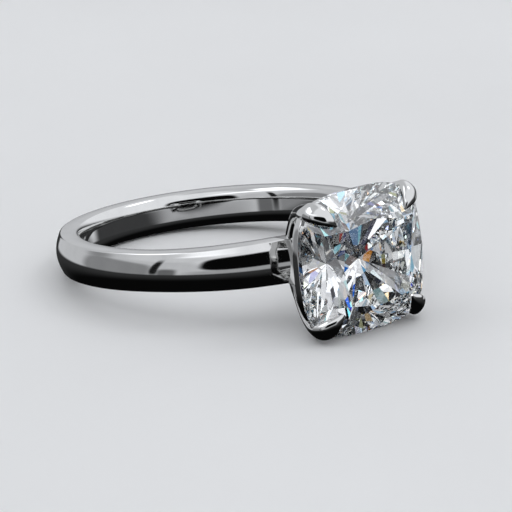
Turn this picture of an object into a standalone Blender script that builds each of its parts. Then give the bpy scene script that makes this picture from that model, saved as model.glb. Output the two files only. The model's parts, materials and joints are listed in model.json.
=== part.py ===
"""Solitaire engagement ring lying on its side: a flared band, a four-claw basket and a cushion brilliant.

Every shape is built in the ring's own frame, whose origin is the centre of the finger hole:
x runs across the head, y runs from the stone to the back of the band, z runs along the finger.
The frame is then leant until the lower side of the stone and the back of the band share the ground.
"""

import math

import bmesh
import bpy
import numpy as np
from mathutils import Euler, Matrix, Vector

MM = 0.001
SOLDER_GAP = 0.03 * MM

# Band: comfort-fit inside, flat sides, gently domed outside, wider where it meets the head.
FINGER_RADIUS = 8.25 * MM
BAND_THICKNESS = 1.60 * MM
BAND_HALF_WIDTH = 1.12 * MM
SHOULDER_HALF_WIDTH = 1.28 * MM
SHOULDER_SHARE = 0.16
SHOULDER_ANGLE = math.radians(24)
DOME_DROP = 0.25 * MM
OUTER_EDGE_RADIUS = 0.13 * MM
DOME_END_ANGLE = 18
COMFORT_RISE = 0.36 * MM
COMFORT_REACH = 0.82 * MM
BAND_END_RADIUS = 0.10 * MM
BAND_END_STATIONS = (0.15, 0.5)
BAND_STATIONS = 96
DOME_STEPS = 4
EDGE_STEPS = 3
COMFORT_STEPS = 5

# Collar: the low bridge that closes the band under the stone.
COLLAR_HALF_LENGTH = 2.55 * MM
COLLAR_TOP = 10.10 * MM
COLLAR_SADDLE = 9.15 * MM
COLLAR_BLOCK = 0.62 * MM
COLLAR_RAMP = 0.68 * MM
COLLAR_WALL = 0.60 * MM
COLLAR_EDGE = 0.10 * MM
COLLAR_STOCK = 0.50 * MM
COLLAR_RAMP_STEPS = 6
COLLAR_CORNER_STEPS = 5
COLLAR_BEVEL_SEGMENTS = 2
FINGER_CUT_SIDES = 144

# Stone: cushion outline, brilliant facets with eight mains above and eight below.
STONE_HALF_LENGTH = 4.37 * MM
STONE_HALF_WIDTH = 4.07 * MM
STONE_SQUARENESS = 3.4
GIRDLE_HEIGHT = 12.82 * MM
GIRDLE_THICKNESS = 0.36 * MM
CROWN_HEIGHT = 1.18 * MM
PAVILION_DEPTH = 3.70 * MM
TABLE_HALF = 2.45 * MM
TABLE_CORNER = 2.10 * MM
STAR_REACH = 0.40
LOWER_HALF_REACH = 0.16
OUTLINE_SIDES = 64
MAINS = 8
PAVILION_MAINS = 8
SIDE_PITCH = 39.5
CORNER_PITCH = 37.5
CUT_TOLERANCE = 1e-8

# Rail: the band of metal that carries the stone just under its girdle.
RAIL_INSET = 0.27 * MM
RAIL_DEPTH = 0.45 * MM
RAIL_TOP_DROP = 0.33 * MM
RAIL_SEAT_DROP = 0.74 * MM
RAIL_BOTTOM_DROP = 0.86 * MM
RAIL_EDGE = 0.09 * MM
RAIL_STATIONS = 72

# Claws: bowed stems that rise from the collar and close over the stone's corners as talons.
# Each row is height along the stone axis, distance across, distance along the finger, width, depth.
CLAW_STATIONS = (
    (9.50, 2.12, 1.31, 0.86, 0.80),
    (9.76, 2.20, 1.95, 0.80, 0.72),
    (10.26, 2.42, 2.55, 0.76, 0.66),
    (10.96, 2.76, 2.98, 0.76, 0.62),
    (11.80, 3.16, 3.24, 0.84, 0.62),
    (12.50, 3.47, 3.31, 0.96, 0.64),
    (12.95, 3.55, 3.31, 1.04, 0.64),
    (13.32, 3.42, 3.18, 1.00, 0.60),
    (13.58, 3.12, 2.94, 0.80, 0.50),
    (13.77, 2.80, 2.72, 0.46, 0.34),
    (13.90, 2.50, 2.47, 0.10, 0.12),
)
CLAW_ROUNDNESS = 2.4
CLAW_STEPS_PER_STATION = 3
CLAW_SIDES = 16

SHARP_ANGLE = math.radians(38)
CUT_MARGIN = 1.0 * MM


def clear_scene():
    for obj in list(bpy.data.objects):
        bpy.data.objects.remove(obj, do_unlink=True)


def material(name, colour, metallic, roughness, transmission=0.0, ior=1.5):
    made = bpy.data.materials.new(name)
    made.use_nodes = True
    shader = made.node_tree.nodes["Principled BSDF"]
    shader.inputs["Base Color"].default_value = (*colour, 1.0)
    shader.inputs["Metallic"].default_value = metallic
    shader.inputs["Roughness"].default_value = roughness
    shader.inputs["Transmission Weight"].default_value = transmission
    shader.inputs["IOR"].default_value = ior
    return made


def at(height, across, along):
    """A point given by its height along the stone axis, its distance across and along the finger."""
    return Vector((across, -height, along))


def finish(name, bm, look, frame, smooth=True):
    """Turns a bmesh into an object of the ring's frame, with one material."""
    bmesh.ops.recalc_face_normals(bm, faces=bm.faces)
    mesh = bpy.data.meshes.new(name)
    bm.to_mesh(mesh)
    bm.free()
    for face in mesh.polygons:
        face.use_smooth = smooth
    if smooth:
        mesh.set_sharp_from_angle(angle=SHARP_ANGLE)
    obj = bpy.data.objects.new(name, mesh)
    bpy.context.scene.collection.objects.link(obj)
    obj.data.materials.append(look)
    obj.parent = frame
    return obj


def as_cutter(obj):
    obj.hide_render = True
    obj.display_type = "WIRE"
    return obj


def subtract(obj, cutter, name):
    cut = obj.modifiers.new(name, "BOOLEAN")
    cut.operation = "DIFFERENCE"
    cut.solver = "EXACT"
    cut.object = cutter


def loft(rings, closed=False):
    """A bmesh through rings of equal length, joined end to end or capped."""
    bm = bmesh.new()
    loops = [[bm.verts.new(point) for point in ring] for ring in rings]
    following = loops[1:] + loops[:1] if closed else loops[1:]
    for near, far in zip(loops, following):
        for i in range(len(near)):
            j = (i + 1) % len(near)
            bm.faces.new((near[i], near[j], far[j], far[i]))
    if not closed:
        bm.faces.new(reversed(loops[0]))
        bm.faces.new(loops[-1])
    return bm


def smooth_step(value):
    clamped = min(max(value, 0.0), 1.0)
    return clamped * clamped * (3.0 - 2.0 * clamped)


def arc(centre, radii, start, end, steps):
    """Points of an elliptic arc in a plane, angles in degrees, both ends included."""
    angles = np.radians(np.linspace(start, end, steps + 1))
    return [
        (centre[0] + radii[0] * math.cos(a), centre[1] + radii[1] * math.sin(a)) for a in angles
    ]


# ---------------------------------------------------------------- band


def comfort_curve():
    """(radius, along) of the rounded inside, from the side of the band to the finger."""
    centre = (FINGER_RADIUS + COMFORT_RISE, BAND_HALF_WIDTH - COMFORT_REACH)
    return arc(centre, (COMFORT_RISE, COMFORT_REACH), 90, 180, COMFORT_STEPS)


def upper_half_section():
    """(radius, along) of the band's section from the middle of the dome to the middle of the inside."""
    outer = FINGER_RADIUS + BAND_THICKNESS
    edge_start = BAND_HALF_WIDTH - OUTER_EDGE_RADIUS
    dome = [
        (outer - DOME_DROP * share * share, edge_start * share)
        for share in np.linspace(0.0, 1.0, DOME_STEPS + 1)
    ]
    edge_centre = (outer - DOME_DROP - OUTER_EDGE_RADIUS, edge_start)
    edge_radii = (OUTER_EDGE_RADIUS, OUTER_EDGE_RADIUS)
    edge = arc(edge_centre, edge_radii, DOME_END_ANGLE, 90, EDGE_STEPS)
    return dome[:-1] + edge + comfort_curve() + [(FINGER_RADIUS, 0.0)]


def band_section():
    upper = upper_half_section()
    lower = [(radius, -along) for radius, along in reversed(upper[1:-1])]
    return upper + lower


def band_ring(section, share):
    """The section at this share of the way round, from the face at one side of the head to the other."""
    to_end = 2.0 * min(share, 1.0 - share)
    flare = 1.0 - smooth_step(to_end / (2.0 * SHOULDER_SHARE))
    widen = 1.0 + flare * (SHOULDER_HALF_WIDTH / BAND_HALF_WIDTH - 1.0)
    middle = FINGER_RADIUS + BAND_THICKNESS / 2.0
    arc_from_end = to_end * (math.pi - math.asin(COLLAR_HALF_LENGTH / middle)) * middle
    inset = BAND_END_RADIUS - math.sqrt(
        max(BAND_END_RADIUS**2 - max(BAND_END_RADIUS - arc_from_end, 0.0) ** 2, 0.0)
    )
    ring = []
    for radius, along in section:
        radius_here = middle + (radius - middle) * (1.0 - 2.0 * inset / BAND_THICKNESS)
        along_here = along * widen * (1.0 - inset / BAND_HALF_WIDTH)
        start = math.asin((COLLAR_HALF_LENGTH + SOLDER_GAP) / radius_here)
        angle = start + share * (2.0 * math.pi - 2.0 * start)
        off_head = min(angle, 2.0 * math.pi - angle)
        straight = 1.0 / math.cos(max(0.0, SHOULDER_ANGLE - off_head)) - 1.0
        radius_here *= 1.0 + straight * (radius_here - FINGER_RADIUS) / BAND_THICKNESS
        ring.append(at(radius_here * math.cos(angle), radius_here * math.sin(angle), along_here))
    return ring


def build_shank(frame, metal):
    even = np.linspace(0.0, 1.0, BAND_STATIONS + 1)
    length = 2.0 * math.pi * FINGER_RADIUS
    near_end = [BAND_END_RADIUS / length * share for share in BAND_END_STATIONS]
    shares = sorted({*even, *near_end, *(1.0 - share for share in near_end)})
    section = band_section()
    return finish("shank", loft([band_ring(section, s) for s in shares]), metal, frame)


# ---------------------------------------------------------------- collar


def collar_outline():
    """(across, height) of the bridge before the finger is cut out: two end blocks and a low saddle."""
    half = COLLAR_HALF_LENGTH
    foot = math.sqrt(FINGER_RADIUS**2 - half**2) - COLLAR_STOCK
    under = [(-half, foot), (half, foot)]
    ramp_top = half - COLLAR_BLOCK
    ramp = [
        (
            ramp_top - COLLAR_RAMP * share,
            COLLAR_TOP - (COLLAR_TOP - COLLAR_SADDLE) * smooth_step(share),
        )
        for share in np.linspace(0.0, 1.0, COLLAR_RAMP_STEPS + 1)
    ]
    right = [(half, COLLAR_TOP)] + ramp
    left = [(-across, height) for across, height in reversed(right)]
    return under + right + left


def prism(outline, half_depth):
    ends = (-half_depth, half_depth)
    return loft([[at(height, across, along) for across, height in outline] for along in ends])


def finger_cutter(frame, metal):
    """The space of the finger: the comfort-fit inside of the shoulders turned about the finger axis."""
    widen = SHOULDER_HALF_WIDTH / BAND_HALF_WIDTH
    upper = comfort_curve()[::-1]
    upper.append((upper[-1][0], BAND_HALF_WIDTH + CUT_MARGIN))
    profile = [(radius, -along) for radius, along in reversed(upper)] + upper
    angles = [2.0 * math.pi * k / FINGER_CUT_SIDES for k in range(FINGER_CUT_SIDES)]
    rings = [
        [at(radius * math.cos(a), radius * math.sin(a), along * widen) for a in angles]
        for radius, along in profile
    ]
    return as_cutter(finish("finger_cut", loft(rings), metal, frame))


def collar_opening_cutter(frame, metal):
    """The round-cornered window through the middle of the collar, along the stone's axis."""
    half_across = COLLAR_HALF_LENGTH - COLLAR_BLOCK - COLLAR_RAMP / 2.0
    half_along = SHOULDER_HALF_WIDTH - COLLAR_WALL
    radius = half_along / 2.0
    outline = []
    for side_x, side_z, start in ((1, 1, 0), (-1, 1, 90), (-1, -1, 180), (1, -1, 270)):
        centre = (side_x * (half_across - radius), side_z * (half_along - radius))
        outline += arc(centre, (radius, radius), start, start + 90, COLLAR_CORNER_STEPS)
    heights = (FINGER_RADIUS - 2.0 * CUT_MARGIN, COLLAR_TOP + CUT_MARGIN)
    rings = [[at(height, across, along) for across, along in outline] for height in heights]
    return as_cutter(finish("collar_opening_cut", loft(rings), metal, frame))


def build_collar(frame, metal):
    collar = finish("base_collar", prism(collar_outline(), SHOULDER_HALF_WIDTH), metal, frame)
    subtract(collar, finger_cutter(frame, metal), "finger")
    subtract(collar, collar_opening_cutter(frame, metal), "opening")
    bevel = collar.modifiers.new("edges", "BEVEL")
    bevel.width = COLLAR_EDGE
    bevel.segments = COLLAR_BEVEL_SEGMENTS
    bevel.limit_method = "ANGLE"
    bevel.angle_limit = SHARP_ANGLE
    return collar


# ---------------------------------------------------------------- stone


def cushion_point(angle, half_length, half_width):
    """(across, along) of the cushion outline in the direction of this angle from the long side."""
    direction = np.array([math.cos(angle), math.sin(angle)])
    shares = np.abs(direction / np.array([half_length, half_width])) ** STONE_SQUARENESS
    return direction * float(shares.sum()) ** (-1.0 / STONE_SQUARENESS)


def plane_through(a, b, c):
    rows = np.array([[1.0, p[0], p[1]] for p in (a, b, c)])
    return np.linalg.solve(rows, np.array([p[2] for p in (a, b, c)]))


def falling_plane(top, foot):
    """The plane that holds top and foot and falls straight along the line between them."""
    run = np.array(foot[:2]) - np.array(top[:2])
    slope = (foot[2] - top[2]) * run / float(run @ run)
    return np.array([top[2] - slope @ np.array(top[:2]), slope[0], slope[1]])


def meeting_point(first, second, height):
    """Where two planes share this height."""
    rows = np.array([first[1:], second[1:]])
    values = np.array([height - first[0], height - second[0]])
    across, along = np.linalg.solve(rows, values)
    return np.array([across, along, height])


def girdle_point(angle, height):
    return np.array([*cushion_point(angle, STONE_HALF_LENGTH, STONE_HALF_WIDTH), height])


def table_points():
    top = GIRDLE_HEIGHT + GIRDLE_THICKNESS / 2.0 + CROWN_HEIGHT
    corner = TABLE_CORNER
    flat = ((TABLE_HALF, 0), (corner, corner), (0, TABLE_HALF), (-corner, corner))
    both = flat + tuple((-across, -along) for across, along in flat)
    return [np.array([across, along, top]) for across, along in both]


def half_planes(mains, angles, base, height, reach):
    """Planes of the two half facets between each pair of neighbouring mains, down to the girdle."""
    planes = []
    for i in range(len(mains)):
        j = (i + 1) % len(mains)
        tip = meeting_point(mains[i], mains[j], base + reach * (height - base))
        middle = math.atan2(tip[1], tip[0])
        shared = girdle_point(middle, height)
        planes.append(plane_through(tip, girdle_point(angles[i], height), shared))
        planes.append(plane_through(tip, shared, girdle_point(angles[j], height)))
    return planes


def crown_planes(top, height):
    """Table, mains, upper halves and stars of the crown."""
    table = table_points()
    angles = [2.0 * math.pi * i / MAINS for i in range(MAINS)]
    mains = [falling_plane(table[i], girdle_point(angles[i], height)) for i in range(MAINS)]
    stars = []
    for i in range(MAINS):
        j = (i + 1) % MAINS
        tip = meeting_point(mains[i], mains[j], top + STAR_REACH * (height - top))
        stars.append(plane_through(table[i], table[j], tip))
    halves = half_planes(mains, angles, top, height, STAR_REACH)
    return [np.array([top, 0.0, 0.0])] + mains + stars + halves


def pavilion_planes(height):
    """Mains that meet at the culet, shallower towards the corners, and long lower halves."""
    culet = height - PAVILION_DEPTH
    angles = [2.0 * math.pi * i / PAVILION_MAINS for i in range(PAVILION_MAINS)]
    mains = []
    for angle in angles:
        corner = math.sin(2.0 * angle) ** 2
        slope = math.tan(math.radians(SIDE_PITCH + corner * (CORNER_PITCH - SIDE_PITCH)))
        mains.append(np.array([culet, slope * math.cos(angle), slope * math.sin(angle)]))
    return mains + half_planes(mains, angles, culet, height, LOWER_HALF_REACH)


def cut_flat(bm, plane, side):
    """Grinds one facet: side is 1 to keep what lies under the plane, -1 to keep what lies over it."""
    bmesh.ops.bisect_plane(
        bm,
        geom=bm.verts[:] + bm.edges[:] + bm.faces[:],
        dist=CUT_TOLERANCE,
        plane_co=at(plane[0], 0.0, 0.0),
        plane_no=at(1.0, -plane[1], -plane[2]) * side,
        clear_outer=True,
    )
    rim = [edge for edge in bm.edges if edge.is_boundary]
    if rim:
        bmesh.ops.contextual_create(bm, geom=rim)


def stone_bmesh():
    """The rough cushion prism with every facet ground on it in turn."""
    upper = GIRDLE_HEIGHT + GIRDLE_THICKNESS / 2.0
    lower = GIRDLE_HEIGHT - GIRDLE_THICKNESS / 2.0
    top = upper + CROWN_HEIGHT
    rough = (lower - PAVILION_DEPTH - CUT_MARGIN, top + CUT_MARGIN)
    turns = [2.0 * math.pi * k / OUTLINE_SIDES for k in range(OUTLINE_SIDES)]
    outline = [cushion_point(a, STONE_HALF_LENGTH, STONE_HALF_WIDTH) for a in turns]
    bm = loft([[at(height, *point) for point in outline] for height in rough])
    bmesh.ops.recalc_face_normals(bm, faces=bm.faces)
    for plane in crown_planes(top, upper):
        cut_flat(bm, plane, 1)
    for plane in pavilion_planes(lower):
        cut_flat(bm, plane, -1)
    return bm


def build_stone(frame, gem):
    return finish("stone", stone_bmesh(), gem, frame, smooth=False)


# ---------------------------------------------------------------- rail


def rail_section(grow=0.0):
    """(inset from the girdle outline, drop below the girdle) round the rail, seat side bevelled."""
    outer = RAIL_INSET - grow
    inner = RAIL_INSET + RAIL_DEPTH + grow
    return (
        (outer, RAIL_TOP_DROP - grow),
        (outer + RAIL_EDGE, RAIL_TOP_DROP - grow),
        (inner, RAIL_SEAT_DROP - grow),
        (inner, RAIL_BOTTOM_DROP + grow - RAIL_EDGE / 2.0),
        (inner - RAIL_EDGE / 2.0, RAIL_BOTTOM_DROP + grow),
        (outer + RAIL_EDGE, RAIL_BOTTOM_DROP + grow),
        (outer, RAIL_BOTTOM_DROP + grow - RAIL_EDGE),
    )


def build_rail(name, frame, metal, grow=0.0):
    lower = GIRDLE_HEIGHT - GIRDLE_THICKNESS / 2.0
    rings = []
    for k in range(RAIL_STATIONS):
        angle = 2.0 * math.pi * k / RAIL_STATIONS
        ring = []
        for inset, drop in rail_section(grow):
            across, along = cushion_point(
                angle, STONE_HALF_LENGTH - inset, STONE_HALF_WIDTH - inset
            )
            ring.append(at(lower - drop, across, along))
        rings.append(ring)
    return finish(name, loft(rings, closed=True), metal, frame)


# ---------------------------------------------------------------- claws


def through_stations(stations):
    """Rows eased through the stations by a cubic that matches the slope at each one."""
    rows = np.array(stations)
    slopes = np.gradient(rows, axis=0)
    eased = []
    for i in range(len(rows) - 1):
        for step in range(CLAW_STEPS_PER_STATION):
            t = step / CLAW_STEPS_PER_STATION
            eased.append(
                (1 + 2 * t) * (1 - t) ** 2 * rows[i]
                + t * (1 - t) ** 2 * slopes[i]
                + t * t * (3 - 2 * t) * rows[i + 1]
                + t * t * (t - 1) * slopes[i + 1]
            )
    return np.array([*eased, rows[-1]])


def claw_rings(across_side, along_side):
    rows = through_stations(CLAW_STATIONS)
    centres = [
        at(height * MM, across_side * across * MM, along_side * along * MM)
        for height, across, along, _, _ in rows
    ]
    rings = []
    for i, centre in enumerate(centres):
        tangent = (centres[min(i + 1, len(rows) - 1)] - centres[max(i - 1, 0)]).normalized()
        if i == 0:
            tangent = Vector((0.0, 0.0, along_side))
        sideways = tangent.cross(Vector((centre.x, 0.0, centre.z))).normalized()
        outward = sideways.cross(tangent).normalized()
        width, depth = rows[i][3] * MM / 2.0, rows[i][4] * MM / 2.0
        ring = []
        for k in range(CLAW_SIDES):
            angle = 2.0 * math.pi * k / CLAW_SIDES
            cosine, sine = math.cos(angle), math.sin(angle)
            reach = (abs(cosine) ** CLAW_ROUNDNESS + abs(sine) ** CLAW_ROUNDNESS) ** (
                -1.0 / CLAW_ROUNDNESS
            )
            ring.append(centre + sideways * width * reach * cosine + outward * depth * reach * sine)
        rings.append(ring)
    return rings


def build_claws(frame, metal, cutters):
    claws = []
    for level, along_side in (("upper", 1), ("lower", -1)):
        for hand, across_side in (("left", -1), ("right", 1)):
            name = f"claw_{level}_{hand}"
            claw = finish(name, loft(claw_rings(across_side, along_side)), metal, frame)
            for cutter in cutters:
                subtract(claw, cutter, cutter.name)
            claws.append(claw)
    return claws


def stone_cutter(frame, gem):
    """The stone grown by the solder gap, which cuts the seat in the rail and the notch in each claw."""
    bm = stone_bmesh()
    grow = 1.0 + SOLDER_GAP / STONE_HALF_WIDTH
    centre = Matrix.Translation(at(GIRDLE_HEIGHT, 0.0, 0.0))
    bmesh.ops.transform(
        bm, matrix=centre @ Matrix.Scale(grow, 4) @ centre.inverted(), verts=bm.verts
    )
    return as_cutter(finish("stone_notch_cut", bm, gem, frame, smooth=False))


# ---------------------------------------------------------------- resting pose


def lower_hull(points):
    """The lower boundary of points in a plane, from left to right."""
    hull = []
    for point in sorted(points):
        while len(hull) > 1:
            (ax, ay), (bx, by) = hull[-2:]
            if (bx - ax) * (point[1] - ay) - (by - ay) * (point[0] - ax) > 0.0:
                break
            hull.pop()
        hull.append(point)
    return hull


def lay_on_ground(frame, pieces):
    """Leans and lifts the ring so that its stone side and band back touch the ground together."""
    points = [tuple(vertex.co) for piece in pieces for vertex in piece.data.vertices]
    hull = lower_hull([(y, z) for _, y, z in points])
    near, far = next((a, b) for a, b in zip(hull, hull[1:]) if a[0] <= 0.0 <= b[0])
    lean = -math.atan2(far[1] - near[1], far[0] - near[0])
    turned = Euler((lean, 0.0, 0.0)).to_matrix()
    world = [turned @ Vector(point) for point in points]
    ys = [point.y for point in world]
    frame.rotation_euler = (lean, 0.0, 0.0)
    frame.location = (0.0, -(min(ys) + max(ys)) / 2.0, -min(point.z for point in world))


def main():
    clear_scene()
    metal = material("platinum", (0.76, 0.76, 0.75), 1.0, 0.08)
    gem = material("diamond", (0.97, 0.98, 1.0), 0.0, 0.0, transmission=1.0, ior=2.417)
    frame = bpy.data.objects.new("ring_frame", None)
    bpy.context.scene.collection.objects.link(frame)
    shank = build_shank(frame, metal)
    build_collar(frame, metal)
    stone = build_stone(frame, gem)
    stone_cut = stone_cutter(frame, gem)
    rail_cut = as_cutter(build_rail("rail_notch_cut", frame, metal, grow=SOLDER_GAP))
    subtract(build_rail("girdle_rail", frame, metal), stone_cut, "seat")
    claws = build_claws(frame, metal, (stone_cut, rail_cut))
    lay_on_ground(frame, [shank, stone, *claws])


main()
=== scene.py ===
"""Studio look of a solitaire engagement ring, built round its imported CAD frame.

Every piece is remade at a finer pitch in the ring's own frame, whose origin is the centre of the
finger hole: x runs across the head, y from the stone to the back of the band, z along the finger.
The frame itself comes from the record's two band-side mounts. Lengths are in metres.
"""

import json
import math

import bmesh
import bpy
import numpy as np
from mathutils import Matrix, Vector

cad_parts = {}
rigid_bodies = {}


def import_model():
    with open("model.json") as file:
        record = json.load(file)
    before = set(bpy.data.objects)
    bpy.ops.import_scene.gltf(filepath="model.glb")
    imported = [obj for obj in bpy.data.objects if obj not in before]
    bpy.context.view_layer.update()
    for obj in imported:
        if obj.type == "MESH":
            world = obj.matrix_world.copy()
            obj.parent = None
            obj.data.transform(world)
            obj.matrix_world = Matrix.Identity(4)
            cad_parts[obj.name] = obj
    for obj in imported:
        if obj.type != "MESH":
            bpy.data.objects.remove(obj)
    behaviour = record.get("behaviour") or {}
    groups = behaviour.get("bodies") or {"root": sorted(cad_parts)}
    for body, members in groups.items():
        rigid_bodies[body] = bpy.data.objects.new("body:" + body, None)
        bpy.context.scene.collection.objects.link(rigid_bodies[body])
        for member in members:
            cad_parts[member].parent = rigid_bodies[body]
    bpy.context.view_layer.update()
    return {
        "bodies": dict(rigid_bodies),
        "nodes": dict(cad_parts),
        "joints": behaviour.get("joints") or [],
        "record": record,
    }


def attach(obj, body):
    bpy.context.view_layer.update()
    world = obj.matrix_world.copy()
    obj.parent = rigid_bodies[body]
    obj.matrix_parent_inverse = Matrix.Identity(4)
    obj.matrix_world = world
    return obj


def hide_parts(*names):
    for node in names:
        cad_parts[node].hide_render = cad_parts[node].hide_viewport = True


MM = 0.001

# Band
FINGER_RADIUS = 8.25 * MM
BAND_THICKNESS = 1.60 * MM
BAND_HALF_WIDTH = 1.12 * MM
SHOULDER_HALF_WIDTH = 1.28 * MM
SHOULDER_SHARE = 0.16
SHOULDER_ANGLE = math.radians(24)
DOME_DROP = 0.25 * MM
OUTER_EDGE_RADIUS = 0.13 * MM
DOME_END_ANGLE = 18
COMFORT_RISE = 0.36 * MM
COMFORT_REACH = 0.82 * MM
JOINT_OVERLAP = 0.05 * MM
MOUNT_RADIUS = 9.05 * MM
BAND_STATIONS = 288
DOME_STEPS = 12
EDGE_STEPS = 6
COMFORT_STEPS = 14

# Collar
COLLAR_HALF_LENGTH = 2.55 * MM
COLLAR_TOP = 10.10 * MM
COLLAR_SADDLE = 9.15 * MM
COLLAR_BLOCK = 0.62 * MM
COLLAR_RAMP = 0.68 * MM
COLLAR_WALL = 0.60 * MM
COLLAR_EDGE = 0.10 * MM
COLLAR_STOCK = 0.50 * MM
COLLAR_RAMP_STEPS = 12
COLLAR_CORNER_STEPS = 8
COLLAR_BEVEL_SEGMENTS = 4
FINGER_CUT_SIDES = 288

# Stone
STONE_HALF_LENGTH = 4.37 * MM
STONE_HALF_WIDTH = 4.07 * MM
STONE_SQUARENESS = 3.4
GIRDLE_HEIGHT = 12.82 * MM
GIRDLE_THICKNESS = 0.36 * MM
CROWN_HEIGHT = 1.18 * MM
PAVILION_DEPTH = 3.70 * MM
TABLE_HALF = 2.45 * MM
TABLE_CORNER = 2.10 * MM
STAR_REACH = 0.40
LOWER_HALF_REACH = 0.16
OUTLINE_SIDES = 96
MAINS = 8
PAVILION_MAINS = 8
SIDE_PITCH = 39.5
CORNER_PITCH = 37.5
CUT_TOLERANCE = 1e-8

# Rail
RAIL_INSET = 0.27 * MM
RAIL_DEPTH = 0.45 * MM
RAIL_TOP_DROP = 0.33 * MM
RAIL_SEAT_DROP = 0.74 * MM
RAIL_BOTTOM_DROP = 0.86 * MM
RAIL_EDGE_RADIUS = 0.08 * MM
RAIL_EDGE_STEPS = 5
RAIL_STATIONS = 144

# Claws: height along the stone axis, distance across, distance along the finger, width, depth, in mm.
CLAW_STATIONS = (
    (9.50, 2.12, 1.31, 0.86, 0.80),
    (9.76, 2.20, 1.95, 0.80, 0.72),
    (10.26, 2.42, 2.55, 0.76, 0.66),
    (10.96, 2.76, 2.98, 0.76, 0.62),
    (11.80, 3.16, 3.24, 0.84, 0.62),
    (12.50, 3.47, 3.34, 1.00, 0.66),
    (12.95, 3.52, 3.38, 1.14, 0.72),
    (13.32, 3.38, 3.28, 1.18, 0.74),
    (13.62, 3.10, 3.02, 1.00, 0.64),
    (13.80, 2.80, 2.75, 0.62, 0.42),
    (13.90, 2.50, 2.47, 0.12, 0.14),
)
CLAW_ROUNDNESS = 2.2
CLAW_STEPS_PER_STATION = 6
CLAW_SIDES = 32

SHARP_ANGLE = math.radians(32)
CUT_MARGIN = 1.0 * MM
SEAT_GAP = 0.015 * MM

# Camera
CAMERA_AZIMUTH = -38.606
CAMERA_ELEVATION = 18.361
CAMERA_ROLL = -0.519
CAMERA_DISTANCE = 151.05 * MM
CAMERA_TARGET = Vector((2.627, 2.301, 0.459)) * MM
CAMERA_LENS = 175.87
CAMERA_SENSOR = 36.0

# Studio
FLOOR_RADIUS = 0.60
FLOOR_FLAT_RADIUS = 0.34
FLOOR_WALL_HEIGHT = 0.30
FLOOR_RINGS = 6
FLOOR_SWEEP_STEPS = 16
FLOOR_SIDES = 96
FLOOR_DEEP = (0.88, 0.88, 0.875)
FLOOR_LIGHT = (0.92, 0.92, 0.915)

# Light tent, angles in degrees: azimuth from the stone's side round to the right, elevation from
# level upwards.
TENT_HORIZON = (-15.5, -12.0)
TENT_LEVEL = 0.62
TENT_DARK = 0.003
TENT_DUSK = 0.035
TENT_DUSK_RANGE = (-34.0, -16.0)
TENT_TINT = (0.97, 0.99, 1.03)
# Each panel is (azimuth from, to, elevation from, to, softness) and its brightness. Later ones cover
# earlier ones: the pale front, bright panels higher up, grey, dark and pale ones low on the sides, a
# strip along the horizon and, last, the dark opening where the camera stands.
TENT_PANELS = (
    ((-60.0, 140.0, 6.0, 78.0, 10.0), 0.98),
    ((-145.0, -47.0, 22.0, 36.0, 5.0), 0.72),
    ((-145.0, -40.0, 33.0, 43.0, 4.0), 1.6),
    ((-152.0, -88.0, 43.0, 61.0, 6.0), 2.2),
    ((58.0, 80.0, 46.0, 64.0, 4.0), 3.2),
    ((-147.0, -87.0, -22.0, 16.0, 6.0), 0.28),
    ((-83.0, -69.0, -20.0, 3.0, 8.0), 0.16),
    ((-88.5, -82.5, -14.0, 25.0, 12.0), 0.01),
    ((10.0, 152.0, -28.0, 5.0, 8.0), 0.05),
    ((150.0, 166.0, -28.0, 8.0, 8.0), 0.04),
    ((92.0, 138.0, -34.0, -6.0, 8.0), 0.75),
    ((-62.0, 12.0, -26.0, -3.0, 6.0), 0.40),
    ((-54.0, 9.0, -4.0, 28.5, 3.0), 0.0),
)
PANEL_SQUARENESS = 3.5

# What only light that has passed through the stone sees: red and blue turned apart, in degrees, and
# the folds of the tent's cloth.
FIRE_SPREAD = (-1.4, 0.0, 1.4)
FOLD_SCALE = 5.0
FOLD_LEVELS = (0.45, 1.65)

# Materials: pattern scales are in features per millimetre.
METAL_DEEP = (0.70, 0.70, 0.695)
METAL_LIGHT = (0.76, 0.76, 0.75)
METAL_ROUGHNESS = (0.03, 0.075)
CLOUD_SCALE = 0.9
MARK_SCALE = 9.0
MARK_STRETCH = (1.0, 1.0, 7.0)
MARK_DETAIL = 6.0
MARK_DEPTH = 0.00004 * MM
WAVE_SCALE = 0.7
WAVE_DEPTH = 0.0008 * MM
STONE_INDEX = 2.417
STONE_CLOUD_SCALE = 0.5
STONE_DEEP = (0.985, 0.99, 1.0)
STONE_LIGHT = (1.0, 0.997, 0.985)
FLOOR_CLOUD_SCALE = 0.02
FLOOR_ROUGHNESS = 0.65
NOISE_LOW = 0.3
NOISE_HIGH = 0.7

# A count over this is at least one.
MORE_THAN_NONE = 0.5
MOST_BOUNCES = 32
HELPERS = ("finger_space", "collar_window", "stone_seat")


def at(height, across, along):
    """A point given by its height along the stone axis, its distance across and along the finger."""
    return Vector((across, -height, along))


def ring_frame(record):
    """The ring's frame in the row frame, from the mounts on the two flat sides of the band."""
    mounts = {mount["name"]: mount for mount in record["mounts"]}
    upper = Vector(mounts["band_side_upper"]["pos_m"])
    lower = Vector(mounts["band_side_lower"]["pos_m"])
    along = (upper - lower).normalized()
    across = Vector((1.0, 0.0, 0.0))
    back = along.cross(across)
    centre = (upper + lower) / 2.0 - back * MOUNT_RADIUS
    turn = Matrix((across, back, along)).transposed().to_4x4()
    return Matrix.Translation(centre) @ turn


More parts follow.
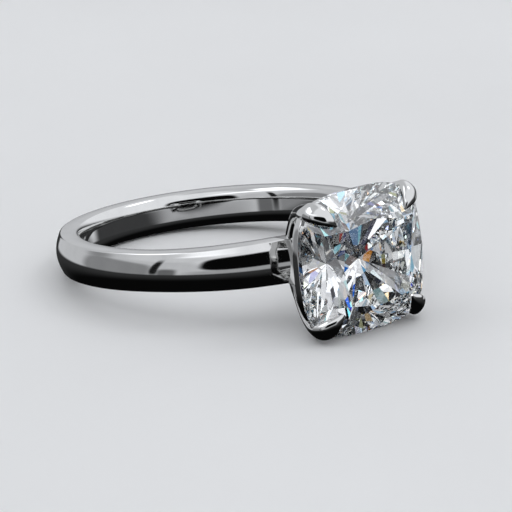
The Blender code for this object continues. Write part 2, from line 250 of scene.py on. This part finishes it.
def finish_piece(name, bm, look, frame, node, smooth=True):
    """Turns a bmesh into a piece that stands for a CAD node and rides on the ring's one body.

    With no node it is a cutter, which stays hidden and is removed at the end.
    """
    bmesh.ops.recalc_face_normals(bm, faces=bm.faces)
    bmesh.ops.transform(bm, matrix=frame, verts=bm.verts)
    mesh = bpy.data.meshes.new(name)
    bm.to_mesh(mesh)
    bm.free()
    for face in mesh.polygons:
        face.use_smooth = smooth
    if smooth:
        mesh.set_sharp_from_angle(angle=SHARP_ANGLE)
    obj = bpy.data.objects.new(name, mesh)
    bpy.context.scene.collection.objects.link(obj)
    obj.data.materials.append(look)
    if node is None:
        obj.hide_render = True
        obj.hide_viewport = True
        return obj
    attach(obj, "root")
    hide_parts(node)
    return obj


def applied(obj):
    """Makes the result of a piece's modifiers its own mesh."""
    graph = bpy.context.evaluated_depsgraph_get()
    mesh = bpy.data.meshes.new_from_object(obj.evaluated_get(graph))
    obj.modifiers.clear()
    obj.data = mesh
    for face in mesh.polygons:
        face.use_smooth = True
    mesh.set_sharp_from_angle(angle=SHARP_ANGLE)
    return obj


def subtract(obj, cutter):
    """Cuts the space of the cutter out of a piece."""
    cut = obj.modifiers.new(cutter.name, "BOOLEAN")
    cut.operation = "DIFFERENCE"
    cut.solver = "EXACT"
    cut.object = cutter


def loft(rings, closed=False):
    """A bmesh through rings of equal length, joined end to end or capped."""
    bm = bmesh.new()
    loops = [[bm.verts.new(point) for point in ring] for ring in rings]
    following = loops[1:] + loops[:1] if closed else loops[1:]
    for near, far in zip(loops, following):
        for i in range(len(near)):
            j = (i + 1) % len(near)
            bm.faces.new((near[i], near[j], far[j], far[i]))
    if not closed:
        bm.faces.new(reversed(loops[0]))
        bm.faces.new(loops[-1])
    return bm


def smooth_step(value):
    """0 up to 0 and 1 from 1, eased between."""
    clamped = min(max(value, 0.0), 1.0)
    return clamped * clamped * (3.0 - 2.0 * clamped)


def arc(centre, radii, start, end, steps):
    """Points of an elliptic arc in a plane, angles in degrees, both ends included."""
    angles = np.radians(np.linspace(start, end, steps + 1))
    return [
        (centre[0] + radii[0] * math.cos(a), centre[1] + radii[1] * math.sin(a)) for a in angles
    ]


# ---------------------------------------------------------------- band


def comfort_curve():
    """(radius, along) of the rounded inside, from the side of the band to the finger."""
    centre = (FINGER_RADIUS + COMFORT_RISE, BAND_HALF_WIDTH - COMFORT_REACH)
    return arc(centre, (COMFORT_RISE, COMFORT_REACH), 90, 180, COMFORT_STEPS)


def band_section():
    """(radius, along) once round the band's section, starting at the middle of the dome."""
    outer = FINGER_RADIUS + BAND_THICKNESS
    edge_start = BAND_HALF_WIDTH - OUTER_EDGE_RADIUS
    dome = [
        (outer - DOME_DROP * share * share, edge_start * share)
        for share in np.linspace(0.0, 1.0, DOME_STEPS + 1)
    ]
    edge_centre = (outer - DOME_DROP - OUTER_EDGE_RADIUS, edge_start)
    edge_radii = (OUTER_EDGE_RADIUS, OUTER_EDGE_RADIUS)
    edge = arc(edge_centre, edge_radii, DOME_END_ANGLE, 90, EDGE_STEPS)
    upper = dome[:-1] + edge + comfort_curve() + [(FINGER_RADIUS, 0.0)]
    lower = [(radius, -along) for radius, along in reversed(upper[1:-1])]
    return upper + lower


def band_ring(section, share):
    """The section at this share of the way round, from one side of the head to the other."""
    to_end = 2.0 * min(share, 1.0 - share)
    flare = 1.0 - smooth_step(to_end / (2.0 * SHOULDER_SHARE))
    widen = 1.0 + flare * (SHOULDER_HALF_WIDTH / BAND_HALF_WIDTH - 1.0)
    ring = []
    for radius, along in section:
        start = math.asin((COLLAR_HALF_LENGTH - JOINT_OVERLAP) / radius)
        angle = start + share * (2.0 * math.pi - 2.0 * start)
        off_head = min(angle, 2.0 * math.pi - angle)
        straight = 1.0 / math.cos(max(0.0, SHOULDER_ANGLE - off_head)) - 1.0
        outer_share = (radius - FINGER_RADIUS) / BAND_THICKNESS
        radius *= 1.0 + straight * outer_share
        ring.append(at(radius * math.cos(angle), radius * math.sin(angle), along * widen))
    return ring


def build_band(frame, look):
    section = band_section()
    shares = np.linspace(0.0, 1.0, BAND_STATIONS + 1)
    bm = loft([band_ring(section, share) for share in shares])
    return finish_piece("polished_band", bm, look, frame, "shank")


# ---------------------------------------------------------------- collar


def collar_outline():
    """(across, height) of the bridge before the finger is cut out: two end blocks and a low saddle."""
    half = COLLAR_HALF_LENGTH
    foot = math.sqrt(FINGER_RADIUS**2 - half**2) - COLLAR_STOCK
    ramp_top = half - COLLAR_BLOCK
    ramp = [
        (
            ramp_top - COLLAR_RAMP * share,
            COLLAR_TOP - (COLLAR_TOP - COLLAR_SADDLE) * smooth_step(share),
        )
        for share in np.linspace(0.0, 1.0, COLLAR_RAMP_STEPS + 1)
    ]
    right = [(half, COLLAR_TOP)] + ramp
    left = [(-across, height) for across, height in reversed(right)]
    return [(-half, foot), (half, foot)] + right + left


def finger_space():
    """The comfort-fit inside of the shoulders turned about the finger axis."""
    widen = SHOULDER_HALF_WIDTH / BAND_HALF_WIDTH
    upper = comfort_curve()[::-1]
    upper.append((upper[-1][0], BAND_HALF_WIDTH + CUT_MARGIN))
    profile = [(radius, -along) for radius, along in reversed(upper)] + upper
    angles = [2.0 * math.pi * k / FINGER_CUT_SIDES for k in range(FINGER_CUT_SIDES)]
    return loft(
        [
            [at(radius * math.cos(a), radius * math.sin(a), along * widen) for a in angles]
            for radius, along in profile
        ]
    )


def collar_window():
    """The round-cornered window through the middle of the collar, along the stone's axis."""
    half_across = COLLAR_HALF_LENGTH - COLLAR_BLOCK - COLLAR_RAMP / 2.0
    half_along = SHOULDER_HALF_WIDTH - COLLAR_WALL
    radius = half_along / 2.0
    outline = []
    for side_x, side_z, start in ((1, 1, 0), (-1, 1, 90), (-1, -1, 180), (1, -1, 270)):
        centre = (side_x * (half_across - radius), side_z * (half_along - radius))
        outline += arc(centre, (radius, radius), start, start + 90, COLLAR_CORNER_STEPS)
    heights = (FINGER_RADIUS - 2.0 * CUT_MARGIN, COLLAR_TOP + CUT_MARGIN)
    return loft([[at(height, across, along) for across, along in outline] for height in heights])


def build_collar(frame, look):
    ends = (-SHOULDER_HALF_WIDTH, SHOULDER_HALF_WIDTH)
    outline = collar_outline()
    bm = loft([[at(height, across, along) for across, height in outline] for along in ends])
    collar = finish_piece("pierced_collar", bm, look, frame, "base_collar")
    subtract(collar, finish_piece("finger_space", finger_space(), look, frame, None))
    subtract(collar, finish_piece("collar_window", collar_window(), look, frame, None))
    bevel = collar.modifiers.new("edges", "BEVEL")
    bevel.width = COLLAR_EDGE
    bevel.segments = COLLAR_BEVEL_SEGMENTS
    bevel.limit_method = "ANGLE"
    bevel.angle_limit = SHARP_ANGLE
    bevel.harden_normals = True
    return applied(collar)


# ---------------------------------------------------------------- stone


def cushion_point(angle, half_length, half_width):
    """(across, along) of the cushion outline in the direction of this angle from the long side."""
    direction = np.array([math.cos(angle), math.sin(angle)])
    shares = np.abs(direction / np.array([half_length, half_width])) ** STONE_SQUARENESS
    return direction * float(shares.sum()) ** (-1.0 / STONE_SQUARENESS)


def plane_through(a, b, c):
    """The plane through three points, kept as (base height, slope across, slope along)."""
    rows = np.array([[1.0, p[0], p[1]] for p in (a, b, c)])
    return np.linalg.solve(rows, np.array([p[2] for p in (a, b, c)]))


def falling_plane(top, foot):
    """The plane that holds top and foot and falls straight along the line between them."""
    run = np.array(foot[:2]) - np.array(top[:2])
    slope = (foot[2] - top[2]) * run / float(run @ run)
    return np.array([top[2] - slope @ np.array(top[:2]), slope[0], slope[1]])


def meeting_point(first, second, height):
    """Where two planes share this height."""
    rows = np.array([first[1:], second[1:]])
    values = np.array([height - first[0], height - second[0]])
    across, along = np.linalg.solve(rows, values)
    return np.array([across, along, height])


def girdle_point(angle, height):
    """The point of the cushion outline in this direction, at this height."""
    return np.array([*cushion_point(angle, STONE_HALF_LENGTH, STONE_HALF_WIDTH), height])


def table_points():
    """The eight corners of the table."""
    top = GIRDLE_HEIGHT + GIRDLE_THICKNESS / 2.0 + CROWN_HEIGHT
    corner = TABLE_CORNER
    flat = ((TABLE_HALF, 0), (corner, corner), (0, TABLE_HALF), (-corner, corner))
    both = flat + tuple((-across, -along) for across, along in flat)
    return [np.array([across, along, top]) for across, along in both]


def half_planes(mains, angles, base, height, reach):
    """Planes of the two half facets between each pair of neighbouring mains, down to the girdle."""
    planes = []
    for i in range(len(mains)):
        j = (i + 1) % len(mains)
        tip = meeting_point(mains[i], mains[j], base + reach * (height - base))
        middle = math.atan2(tip[1], tip[0])
        shared = girdle_point(middle, height)
        planes.append(plane_through(tip, girdle_point(angles[i], height), shared))
        planes.append(plane_through(tip, shared, girdle_point(angles[j], height)))
    return planes


def crown_planes(top, height):
    """Table, mains, upper halves and stars of the crown."""
    table = table_points()
    angles = [2.0 * math.pi * i / MAINS for i in range(MAINS)]
    mains = [falling_plane(table[i], girdle_point(angles[i], height)) for i in range(MAINS)]
    stars = []
    for i in range(MAINS):
        j = (i + 1) % MAINS
        tip = meeting_point(mains[i], mains[j], top + STAR_REACH * (height - top))
        stars.append(plane_through(table[i], table[j], tip))
    halves = half_planes(mains, angles, top, height, STAR_REACH)
    return [np.array([top, 0.0, 0.0])] + mains + stars + halves


def pavilion_planes(height):
    """Mains that meet at the culet, shallower towards the corners, and long lower halves."""
    culet = height - PAVILION_DEPTH
    angles = [2.0 * math.pi * i / PAVILION_MAINS for i in range(PAVILION_MAINS)]
    mains = []
    for angle in angles:
        corner = math.sin(2.0 * angle) ** 2
        slope = math.tan(math.radians(SIDE_PITCH + corner * (CORNER_PITCH - SIDE_PITCH)))
        mains.append(np.array([culet, slope * math.cos(angle), slope * math.sin(angle)]))
    return mains + half_planes(mains, angles, culet, height, LOWER_HALF_REACH)


def cut_flat(bm, plane, side):
    """Grinds one facet: side is 1 to keep what lies under the plane, -1 to keep what lies over it."""
    bmesh.ops.bisect_plane(
        bm,
        geom=bm.verts[:] + bm.edges[:] + bm.faces[:],
        dist=CUT_TOLERANCE,
        plane_co=at(plane[0], 0.0, 0.0),
        plane_no=at(1.0, -plane[1], -plane[2]) * side,
        clear_outer=True,
    )
    rim = [edge for edge in bm.edges if edge.is_boundary]
    if rim:
        bmesh.ops.contextual_create(bm, geom=rim)


def stone_bmesh():
    """The rough cushion prism with every facet ground on it in turn."""
    upper = GIRDLE_HEIGHT + GIRDLE_THICKNESS / 2.0
    lower = GIRDLE_HEIGHT - GIRDLE_THICKNESS / 2.0
    top = upper + CROWN_HEIGHT
    rough = (lower - PAVILION_DEPTH - CUT_MARGIN, top + CUT_MARGIN)
    turns = [2.0 * math.pi * k / OUTLINE_SIDES for k in range(OUTLINE_SIDES)]
    outline = [cushion_point(a, STONE_HALF_LENGTH, STONE_HALF_WIDTH) for a in turns]
    bm = loft([[at(height, *point) for point in outline] for height in rough])
    bmesh.ops.recalc_face_normals(bm, faces=bm.faces)
    for plane in crown_planes(top, upper):
        cut_flat(bm, plane, 1)
    for plane in pavilion_planes(lower):
        cut_flat(bm, plane, -1)
    return bm


def build_stone(frame, look):
    return finish_piece("cushion_stone", stone_bmesh(), look, frame, "stone", smooth=False)


def stone_cutter(frame, look):
    """The stone grown by a hair, which cuts the seat in the rail and the notch in each claw."""
    bm = stone_bmesh()
    centre = Matrix.Translation(at(GIRDLE_HEIGHT, 0.0, 0.0))
    grow = Matrix.Scale(1.0 + SEAT_GAP / STONE_HALF_WIDTH, 4)
    bmesh.ops.transform(bm, matrix=centre @ grow @ centre.inverted(), verts=bm.verts)
    return finish_piece("stone_seat", bm, look, frame, None, smooth=False)


# ---------------------------------------------------------------- rail


def rail_section():
    """(inset from the girdle outline, drop below the girdle) round the rail, all edges rounded."""
    outer = RAIL_INSET
    inner = RAIL_INSET + RAIL_DEPTH
    radius = RAIL_EDGE_RADIUS
    top = (outer + radius, RAIL_TOP_DROP + radius)
    foot = (outer + radius, RAIL_BOTTOM_DROP - radius)
    corner = (inner - radius, RAIL_BOTTOM_DROP - radius)
    return (
        arc(top, (radius, radius), 270, 180, RAIL_EDGE_STEPS)
        + arc(foot, (radius, radius), 180, 90, RAIL_EDGE_STEPS)
        + arc(corner, (radius, radius), 90, 0, RAIL_EDGE_STEPS)
        + [(inner, RAIL_SEAT_DROP)]
    )


def build_rail(frame, look, seat):
    lower = GIRDLE_HEIGHT - GIRDLE_THICKNESS / 2.0
    section = rail_section()
    rings = []
    for k in range(RAIL_STATIONS):
        angle = 2.0 * math.pi * k / RAIL_STATIONS
        ring = []
        for inset, drop in section:
            across, along = cushion_point(
                angle, STONE_HALF_LENGTH - inset, STONE_HALF_WIDTH - inset
            )
            ring.append(at(lower - drop, across, along))
        rings.append(ring)
    rail = finish_piece("stone_rail", loft(rings, closed=True), look, frame, "girdle_rail")
    subtract(rail, seat)
    return applied(rail)


# ---------------------------------------------------------------- claws


def through_stations(stations):
    """Rows eased through the stations by a cubic that matches the slope at each one."""
    rows = np.array(stations)
    slopes = np.gradient(rows, axis=0)
    eased = []
    for i in range(len(rows) - 1):
        for step in range(CLAW_STEPS_PER_STATION):
            t = step / CLAW_STEPS_PER_STATION
            eased.append(
                (1 + 2 * t) * (1 - t) ** 2 * rows[i]
                + t * (1 - t) ** 2 * slopes[i]
                + t * t * (3 - 2 * t) * rows[i + 1]
                + t * t * (t - 1) * slopes[i + 1]
            )
    return np.array([*eased, rows[-1]])


def claw_rings(across_side, along_side):
    """Sections of one claw from its foot on the bridge, up the bowed stem, to the talon's point."""
    rows = through_stations(CLAW_STATIONS)
    centres = [
        at(height * MM, across_side * across * MM, along_side * along * MM)
        for height, across, along, _, _ in rows
    ]
    rings = []
    for i, centre in enumerate(centres):
        tangent = (centres[min(i + 1, len(rows) - 1)] - centres[max(i - 1, 0)]).normalized()
        if i == 0:
            tangent = Vector((0.0, 0.0, along_side))
        sideways = tangent.cross(Vector((centre.x, 0.0, centre.z))).normalized()
        outward = sideways.cross(tangent).normalized()
        width, depth = rows[i][3] * MM / 2.0, rows[i][4] * MM / 2.0
        ring = []
        for k in range(CLAW_SIDES):
            angle = 2.0 * math.pi * k / CLAW_SIDES
            cosine, sine = math.cos(angle), math.sin(angle)
            reach = (abs(cosine) ** CLAW_ROUNDNESS + abs(sine) ** CLAW_ROUNDNESS) ** (
                -1.0 / CLAW_ROUNDNESS
            )
            ring.append(centre + sideways * width * reach * cosine + outward * depth * reach * sine)
        rings.append(ring)
    return rings


def build_claws(frame, look, seat):
    for level, along_side in (("upper", 1), ("lower", -1)):
        for hand, across_side in (("left", -1), ("right", 1)):
            place = f"{level}_{hand}"
            bm = loft(claw_rings(across_side, along_side))
            claw = finish_piece(f"talon_{place}", bm, look, frame, f"claw_{place}")
            subtract(claw, seat)
            applied(claw)


# ---------------------------------------------------------------- materials


def new_nodes(name):
    """An empty material with a Principled shader; returns the material, its tree and the shader."""
    made = bpy.data.materials.new(name)
    made.use_nodes = True
    tree = made.node_tree
    return made, tree, tree.nodes["Principled BSDF"]


def noise(tree, coordinates, scale, stretch=(1.0, 1.0, 1.0), detail=3.0):
    """A noise value over coordinates in millimetres, drawn out along the axes by stretch."""
    mapping = tree.nodes.new("ShaderNodeMapping")
    mapping.inputs["Scale"].default_value = [scale * s / MM for s in stretch]
    tree.links.new(coordinates, mapping.inputs["Vector"])
    texture = tree.nodes.new("ShaderNodeTexNoise")
    texture.inputs["Scale"].default_value = 1.0
    texture.inputs["Detail"].default_value = detail
    tree.links.new(mapping.outputs["Vector"], texture.inputs["Vector"])
    return texture.outputs["Fac"]


def ranged(tree, value, low, high):
    """A noise value spread over low to high."""
    spread = tree.nodes.new("ShaderNodeMapRange")
    for name, number in (
        ("From Min", NOISE_LOW),
        ("From Max", NOISE_HIGH),
        ("To Min", low),
        ("To Max", high),
    ):
        spread.inputs[name].default_value = number
    tree.links.new(value, spread.inputs["Value"])
    return spread.outputs["Result"]


def two_colours(tree, value, first, second):
    """A noise value turned into a blend of two colours."""
    ramp = tree.nodes.new("ShaderNodeValToRGB")
    ramp.color_ramp.elements[0].position = NOISE_LOW
    ramp.color_ramp.elements[1].position = NOISE_HIGH
    ramp.color_ramp.elements[0].color = (*first, 1.0)
    ramp.color_ramp.elements[1].color = (*second, 1.0)
    tree.links.new(value, ramp.inputs["Fac"])
    return ramp.outputs["Color"]


def object_coordinates(tree):
    return tree.nodes.new("ShaderNodeTexCoord").outputs["Object"]


def add_bump(tree, shader, height, depth, before=None):
    """Bump of this depth on the shader, on top of the one before it; returns its normal."""
    bump = tree.nodes.new("ShaderNodeBump")
    bump.inputs["Strength"].default_value = 1.0
    bump.inputs["Distance"].default_value = depth
    tree.links.new(height, bump.inputs["Height"])
    if before is not None:
        tree.links.new(before, bump.inputs["Normal"])
    tree.links.new(bump.outputs["Normal"], shader.inputs["Normal"])
    return bump.outputs["Normal"]


def platinum():
    """Mirror-polished platinum: clouded tone, buffing marks and a faint hand-polished waviness."""
    made, tree, shader = new_nodes("polished_platinum")
    place = object_coordinates(tree)
    cloud = noise(tree, place, CLOUD_SCALE)
    marks = noise(tree, place, MARK_SCALE, stretch=MARK_STRETCH, detail=MARK_DETAIL)
    wave = noise(tree, place, WAVE_SCALE, detail=0.0)
    tree.links.new(two_colours(tree, cloud, METAL_DEEP, METAL_LIGHT), shader.inputs["Base Color"])
    tree.links.new(ranged(tree, marks, *METAL_ROUGHNESS), shader.inputs["Roughness"])
    shader.inputs["Metallic"].default_value = 1.0
    rough = add_bump(tree, shader, marks, MARK_DEPTH)
    add_bump(tree, shader, wave, WAVE_DEPTH, before=rough)
    return made


def maths_node(tree, operation, *inputs):
    """A maths node's result; each input is a number or another node's output."""
    node = tree.nodes.new("ShaderNodeMath")
    node.operation = operation
    for i, item in enumerate(inputs):
        if isinstance(item, (int, float)):
            node.inputs[i].default_value = item
        else:
            tree.links.new(item, node.inputs[i])
    return node.outputs[0]


def diamond():
    """Clear stone of very high index, a trace warmer in places.

    The metal's mirror images leave it out: light that comes off the metal and hasn't been inside the
    stone yet goes straight through it.
    """
    made, tree, shader = new_nodes("clear_diamond")
    tree.nodes.remove(shader)
    tone = noise(tree, object_coordinates(tree), STONE_CLOUD_SCALE)
    glass = tree.nodes.new("ShaderNodeBsdfGlass")
    glass.inputs["Roughness"].default_value = 0.0
    glass.inputs["IOR"].default_value = STONE_INDEX
    tree.links.new(two_colours(tree, tone, STONE_DEEP, STONE_LIGHT), glass.inputs["Color"])
    path = tree.nodes.new("ShaderNodeLightPath").outputs
    outside = maths_node(tree, "LESS_THAN", path["Transmission Depth"], MORE_THAN_NONE)
    mirrored = maths_node(tree, "MULTIPLY", path["Is Glossy Ray"], outside)
    unseen = tree.nodes.new("ShaderNodeBsdfTransparent")
    mixed = tree.nodes.new("ShaderNodeMixShader")
    tree.links.new(mirrored, mixed.inputs["Fac"])
    tree.links.new(glass.outputs["BSDF"], mixed.inputs[1])
    tree.links.new(unseen.outputs["BSDF"], mixed.inputs[2])
    tree.links.new(mixed.outputs["Shader"], tree.nodes["Material Output"].inputs["Surface"])
    return made


def pale_floor():
    """Matt pale paper, a little uneven in tone."""
    made, tree, shader = new_nodes("pale_floor")
    place = object_coordinates(tree)
    tone = noise(tree, place, FLOOR_CLOUD_SCALE)
    tree.links.new(two_colours(tree, tone, FLOOR_DEEP, FLOOR_LIGHT), shader.inputs["Base Color"])
    shader.inputs["Roughness"].default_value = FLOOR_ROUGHNESS
    return made


# ---------------------------------------------------------------- studio


def build_floor():
    """A flat floor that sweeps up into a wall all round, seen but not mirrored by the polish."""
    profile = [(FLOOR_FLAT_RADIUS * k / FLOOR_RINGS, 0.0) for k in range(1, FLOOR_RINGS + 1)]
    rise = FLOOR_RADIUS - FLOOR_FLAT_RADIUS
    profile += [
        (FLOOR_FLAT_RADIUS + rise * math.sin(a), rise * (1.0 - math.cos(a)))
        for a in np.linspace(0.0, math.pi / 2.0, FLOOR_SWEEP_STEPS + 1)[1:]
    ]
    profile.append((FLOOR_RADIUS, rise + FLOOR_WALL_HEIGHT))
    bm = bmesh.new()
    centre = bm.verts.new((0.0, 0.0, 0.0))
    turns = [2.0 * math.pi * k / FLOOR_SIDES for k in range(FLOOR_SIDES)]
    rings = [
        [bm.verts.new((r * math.cos(a), r * math.sin(a), z)) for a in turns] for r, z in profile
    ]
    for k in range(FLOOR_SIDES):
        j = (k + 1) % FLOOR_SIDES
        bm.faces.new((centre, rings[0][k], rings[0][j]))
        for near, far in zip(rings, rings[1:]):
            bm.faces.new((near[k], far[k], far[j], near[j]))
    mesh = bpy.data.meshes.new("floor")
    bm.to_mesh(mesh)
    bm.free()
    for face in mesh.polygons:
        face.use_smooth = True
    floor = bpy.data.objects.new("floor", mesh)
    bpy.context.scene.collection.objects.link(floor)
    floor.data.materials.append(pale_floor())
    floor.visible_glossy = False
    floor.visible_transmission = False


class WorldMaths:
    """Small helpers that write the light tent as nodes over azimuth and elevation in degrees."""

    def __init__(self, tree):
        self.tree = tree

    def value(self, operation, *inputs):
        return maths_node(self.tree, operation, *inputs)

    def step(self, item, start, end):
        """0 before start, 1 after end, eased between."""
        node = self.tree.nodes.new("ShaderNodeMapRange")
        node.interpolation_type = "SMOOTHSTEP"
        node.inputs["From Min"].default_value = start
        node.inputs["From Max"].default_value = end
        self.tree.links.new(item, node.inputs["Value"])
        return node.outputs["Result"]

    def off_centre(self, item, low, high):
        """Distance from the middle of low to high, as a share of half the span, to a fixed power."""
        offset = self.value("SUBTRACT", item, (low + high) / 2.0)
        share = self.value("DIVIDE", self.value("ABSOLUTE", offset), (high - low) / 2.0)
        return self.value("POWER", share, PANEL_SQUARENESS)

    def patch(self, azimuth, elevation, place):
        """A panel with rounded corners: (azimuth from, to, elevation from, to, softness)."""
        az_low, az_high, el_low, el_high, soft = place
        wide = self.off_centre(azimuth, az_low, az_high)
        tall = self.off_centre(elevation, el_low, el_high)
        reach = self.value("POWER", self.value("ADD", wide, tall), 1.0 / PANEL_SQUARENESS)
        edge = soft / (el_high - el_low)
        return self.value("SUBTRACT", 1.0, self.step(reach, 1.0 - edge, 1.0 + edge))


def tent_level(maths, azimuth, elevation):
    """Brightness of the tent in one direction: its panels, dusk under the horizon, then dark."""
    level = TENT_LEVEL
    for place, brightness in TENT_PANELS:
        cover = maths.patch(azimuth, elevation, place)
        keep = maths.value("MULTIPLY", level, maths.value("SUBTRACT", 1.0, cover))
        level = maths.value("ADD", keep, maths.value("MULTIPLY", cover, brightness))
    above = maths.step(elevation, *TENT_HORIZON)
    level = maths.value("MULTIPLY", level, above)
    dusk = maths.value("MULTIPLY", maths.step(elevation, *TENT_DUSK_RANGE), TENT_DUSK)
    dusk = maths.value("MULTIPLY", dusk, maths.value("SUBTRACT", 1.0, above))
    return maths.value("ADD", maths.value("ADD", level, dusk), TENT_DARK)


def build_world():
    """A light tent: pale above, dark below, with a dark opening for the camera and brighter panels.

    Light that has passed through the stone sees the tent's red and blue a little apart, which gives
    the stone its fire, and the folds of the tent's cloth.
    """
    world = bpy.data.worlds.new("light_tent")
    bpy.context.scene.world = world
    world.use_nodes = True
    tree = world.node_tree
    maths = WorldMaths(tree)
    direction = tree.nodes.new("ShaderNodeTexCoord").outputs["Generated"]
    split = tree.nodes.new("ShaderNodeSeparateXYZ")
    tree.links.new(direction, split.inputs[0])
    x, y, z = split.outputs
    forward = maths.value("MULTIPLY", y, -1.0)
    azimuth = maths.value("DEGREES", maths.value("ARCTAN2", x, forward))
    elevation = maths.value("DEGREES", maths.value("ARCSINE", z))
    path = tree.nodes.new("ShaderNodeLightPath").outputs
    through = maths.value("GREATER_THAN", path["Transmission Depth"], MORE_THAN_NONE)
    cloth = tree.nodes.new("ShaderNodeTexNoise")
    cloth.inputs["Scale"].default_value = FOLD_SCALE
    cloth.inputs["Detail"].default_value = 0.0
    tree.links.new(direction, cloth.inputs["Vector"])
    uneven = maths.value("SUBTRACT", ranged(tree, cloth.outputs["Fac"], *FOLD_LEVELS), 1.0)
    folds = maths.value("ADD", 1.0, maths.value("MULTIPLY", through, uneven))
    background = tree.nodes["Background"]
    tint = tree.nodes.new("ShaderNodeCombineColor")
    for channel, share, spread in zip(("Red", "Green", "Blue"), TENT_TINT, FIRE_SPREAD):
        shift = maths.value("MULTIPLY", through, spread)
        turned = maths.value("ADD", azimuth, shift)
        raised = maths.value("ADD", elevation, shift)
        level = maths.value("MULTIPLY", tent_level(maths, turned, raised), share)
        tree.links.new(maths.value("MULTIPLY", level, folds), tint.inputs[channel])
    tree.links.new(tint.outputs["Color"], background.inputs["Color"])


def build_camera():
    azimuth, elevation = math.radians(CAMERA_AZIMUTH), math.radians(CAMERA_ELEVATION)
    back = Vector(
        (
            math.sin(azimuth) * math.cos(elevation),
            -math.cos(azimuth) * math.cos(elevation),
            math.sin(elevation),
        )
    )
    right = Vector((math.cos(azimuth), math.sin(azimuth), 0.0))
    up = back.cross(right)
    turn = Matrix((right, up, back)).transposed() @ Matrix.Rotation(math.radians(CAMERA_ROLL), 3, "Z")
    data = bpy.data.cameras.new("camera")
    data.lens = CAMERA_LENS
    data.sensor_width = CAMERA_SENSOR
    data.clip_start = CAMERA_DISTANCE / 100.0
    data.clip_end = 4.0 * FLOOR_RADIUS
    camera = bpy.data.objects.new("camera", data)
    camera.matrix_world = Matrix.Translation(CAMERA_TARGET + back * CAMERA_DISTANCE) @ turn.to_4x4()
    bpy.context.scene.collection.objects.link(camera)
    bpy.context.scene.camera = camera


def set_light_paths():
    """Enough bounces for light to find its way out of the stone."""
    scene = bpy.context.scene
    scene.view_settings.view_transform = "Standard"
    scene.cycles.max_bounces = MOST_BOUNCES
    scene.cycles.transmission_bounces = MOST_BOUNCES
    scene.cycles.glossy_bounces = MOST_BOUNCES


def main():
    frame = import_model()
    place = ring_frame(frame["record"])
    metal = platinum()
    clear = diamond()
    seat = stone_cutter(place, clear)
    build_band(place, metal)
    build_collar(place, metal)
    build_rail(place, metal, seat)
    build_claws(place, metal, seat)
    build_stone(place, clear)
    for helper in [o for o in bpy.data.objects if o.type == "MESH" and o.name in HELPERS]:
        bpy.data.objects.remove(helper)
    build_floor()
    build_world()
    build_camera()
    set_light_paths()
    bpy.context.view_layer.update()


main()
